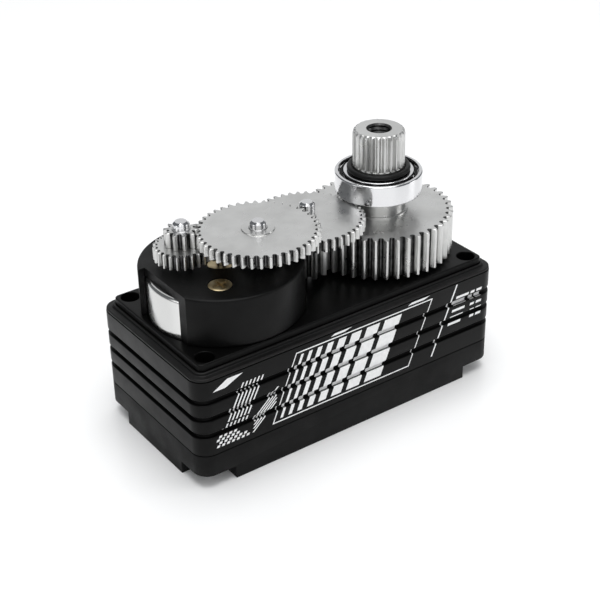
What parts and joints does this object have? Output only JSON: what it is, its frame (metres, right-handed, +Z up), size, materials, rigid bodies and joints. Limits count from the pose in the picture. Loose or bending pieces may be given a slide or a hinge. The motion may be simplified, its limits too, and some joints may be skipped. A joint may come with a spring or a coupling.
{
  "type": "hobby servo motor",
  "caption": "Low-profile metal-gear servo with its top case off, showing the gear train and a splined output shaft on a ball bearing.",
  "frame": {"origin": "centre of the underside of the bottom cover, at the middle of the whole part's length and width", "axes": "+X along the case towards the output shaft, +Y towards the back wall, +Z up along the output shaft"},
  "size_m": [0.0408, 0.0202, 0.0301],
  "materials": {
    "black_anodised": "satin black anodised",
    "black_plastic": "satin moulded",
    "gear_steel": "satin ground steel",
    "polished_steel": "polished",
    "nickel_can": "nickel-plated steel, satin",
    "brass": "satin",
    "black_rubber": "moulded rubber",
    "magnet": "ground, plated",
    "copper": "enamelled winding",
    "circuit_board_green": "solder mask",
    "chip_black": "moulded package",
    "pot_blue": "moulded"
  },
  "bodies": {
    "case": {"bottom_cover": "black_plastic", "bottom_gasket": "black_rubber", "cable_grommet": "black_rubber", "capacitor": "brass", "circuit_board": "circuit_board_green", "controller_chip": "chip_black", "driver_chip_left": "chip_black", "driver_chip_right": "chip_black", "first_gear_pin": "polished_steel", "lower_bearing_cage": "gear_steel", "lower_bearing_outer_ring": "polished_steel", "middle_case": "black_anodised", "motor_can": "nickel_can", "motor_end_cap": "black_plastic", "motor_front_bush": "brass", "motor_holder": "black_plastic", "motor_magnet": "magnet", "motor_rear_bush": "brass", "motor_screw_front": "brass", "motor_screw_rear": "brass", "motor_terminal_left": "brass", "motor_terminal_right": "brass", "potentiometer_body": "pot_blue", "second_gear_pin": "polished_steel", "third_gear_pin": "polished_steel", "top_gasket": "black_rubber"},
    "output": {"output_gear": "gear_steel", "output_bearing_inner_ring": "polished_steel", "output_seal_ring": "black_rubber", "potentiometer_shaft": "gear_steel", "lower_bearing_inner_ring": "polished_steel"},
    "third_gear": {"third_gear": "gear_steel"},
    "second_gear": {"second_gear": "gear_steel"},
    "first_gear": {"first_gear": "gear_steel"},
    "motor_rotor": {"motor_coil": "copper", "motor_commutator": "copper", "motor_shaft": "gear_steel", "motor_pinion": "gear_steel"},
    "bearing_outer": {"output_bearing_outer_ring": "polished_steel"},
    "bearing_cage": {"output_bearing_cage": "black_plastic", "output_bearing_ball_1": "polished_steel", "output_bearing_ball_2": "polished_steel", "output_bearing_ball_3": "polished_steel", "output_bearing_ball_4": "polished_steel", "output_bearing_ball_5": "polished_steel", "output_bearing_ball_6": "polished_steel", "output_bearing_ball_7": "polished_steel", "output_bearing_ball_8": "polished_steel", "output_bearing_ball_9": "polished_steel"}
  },
  "joints": [
    {"name": "output_spin", "type": "hinge", "parent": "case", "child": "output", "pos_m": [0.01095, 0, 0.0149], "axis": [0, 0, 1], "range_deg": [-90, 90]},
    {"name": "third_gear_spin", "type": "hinge", "parent": "case", "child": "third_gear", "pos_m": [0.00056, -0.0005, 0.0149], "axis": [0, 0, 1], "range_deg": [-379, 379]},
    {"name": "second_gear_spin", "type": "hinge", "parent": "case", "child": "second_gear", "pos_m": [-0.00761, -0.003, 0.0206], "axis": [0, 0, 1], "range_deg": [-1060, 1060]},
    {"name": "first_gear_spin", "type": "hinge", "parent": "case", "child": "first_gear", "pos_m": [-0.0144, 0.00136, 0.0206], "axis": [0, 0, 1], "range_deg": [-4447, 4447]},
    {"name": "motor_spin", "type": "hinge", "parent": "case", "child": "motor_rotor", "pos_m": [-0.0105, 0, 0.0206], "axis": [0, 0, 1], "range_deg": [-11856, 11856]},
    {"name": "bearing_outer_spin", "type": "hinge", "parent": "output", "child": "bearing_outer", "pos_m": [0.01095, 0, 0.02385], "axis": [0, 0, 1], "continuous": true},
    {"name": "bearing_cage_spin", "type": "hinge", "parent": "output", "child": "bearing_cage", "pos_m": [0.01095, 0, 0.02385], "axis": [0, 0, 1], "continuous": true}
  ],
  "couplings": [
    {"joint": "third_gear_spin", "follows": "output_spin", "ratio": -4.2},
    {"joint": "second_gear_spin", "follows": "output_spin", "ratio": 11.76},
    {"joint": "first_gear_spin", "follows": "output_spin", "ratio": -49.392},
    {"joint": "motor_spin", "follows": "output_spin", "ratio": 131.71},
    {"joint": "bearing_cage_spin", "follows": "bearing_outer_spin", "ratio": 0.565}
  ]
}
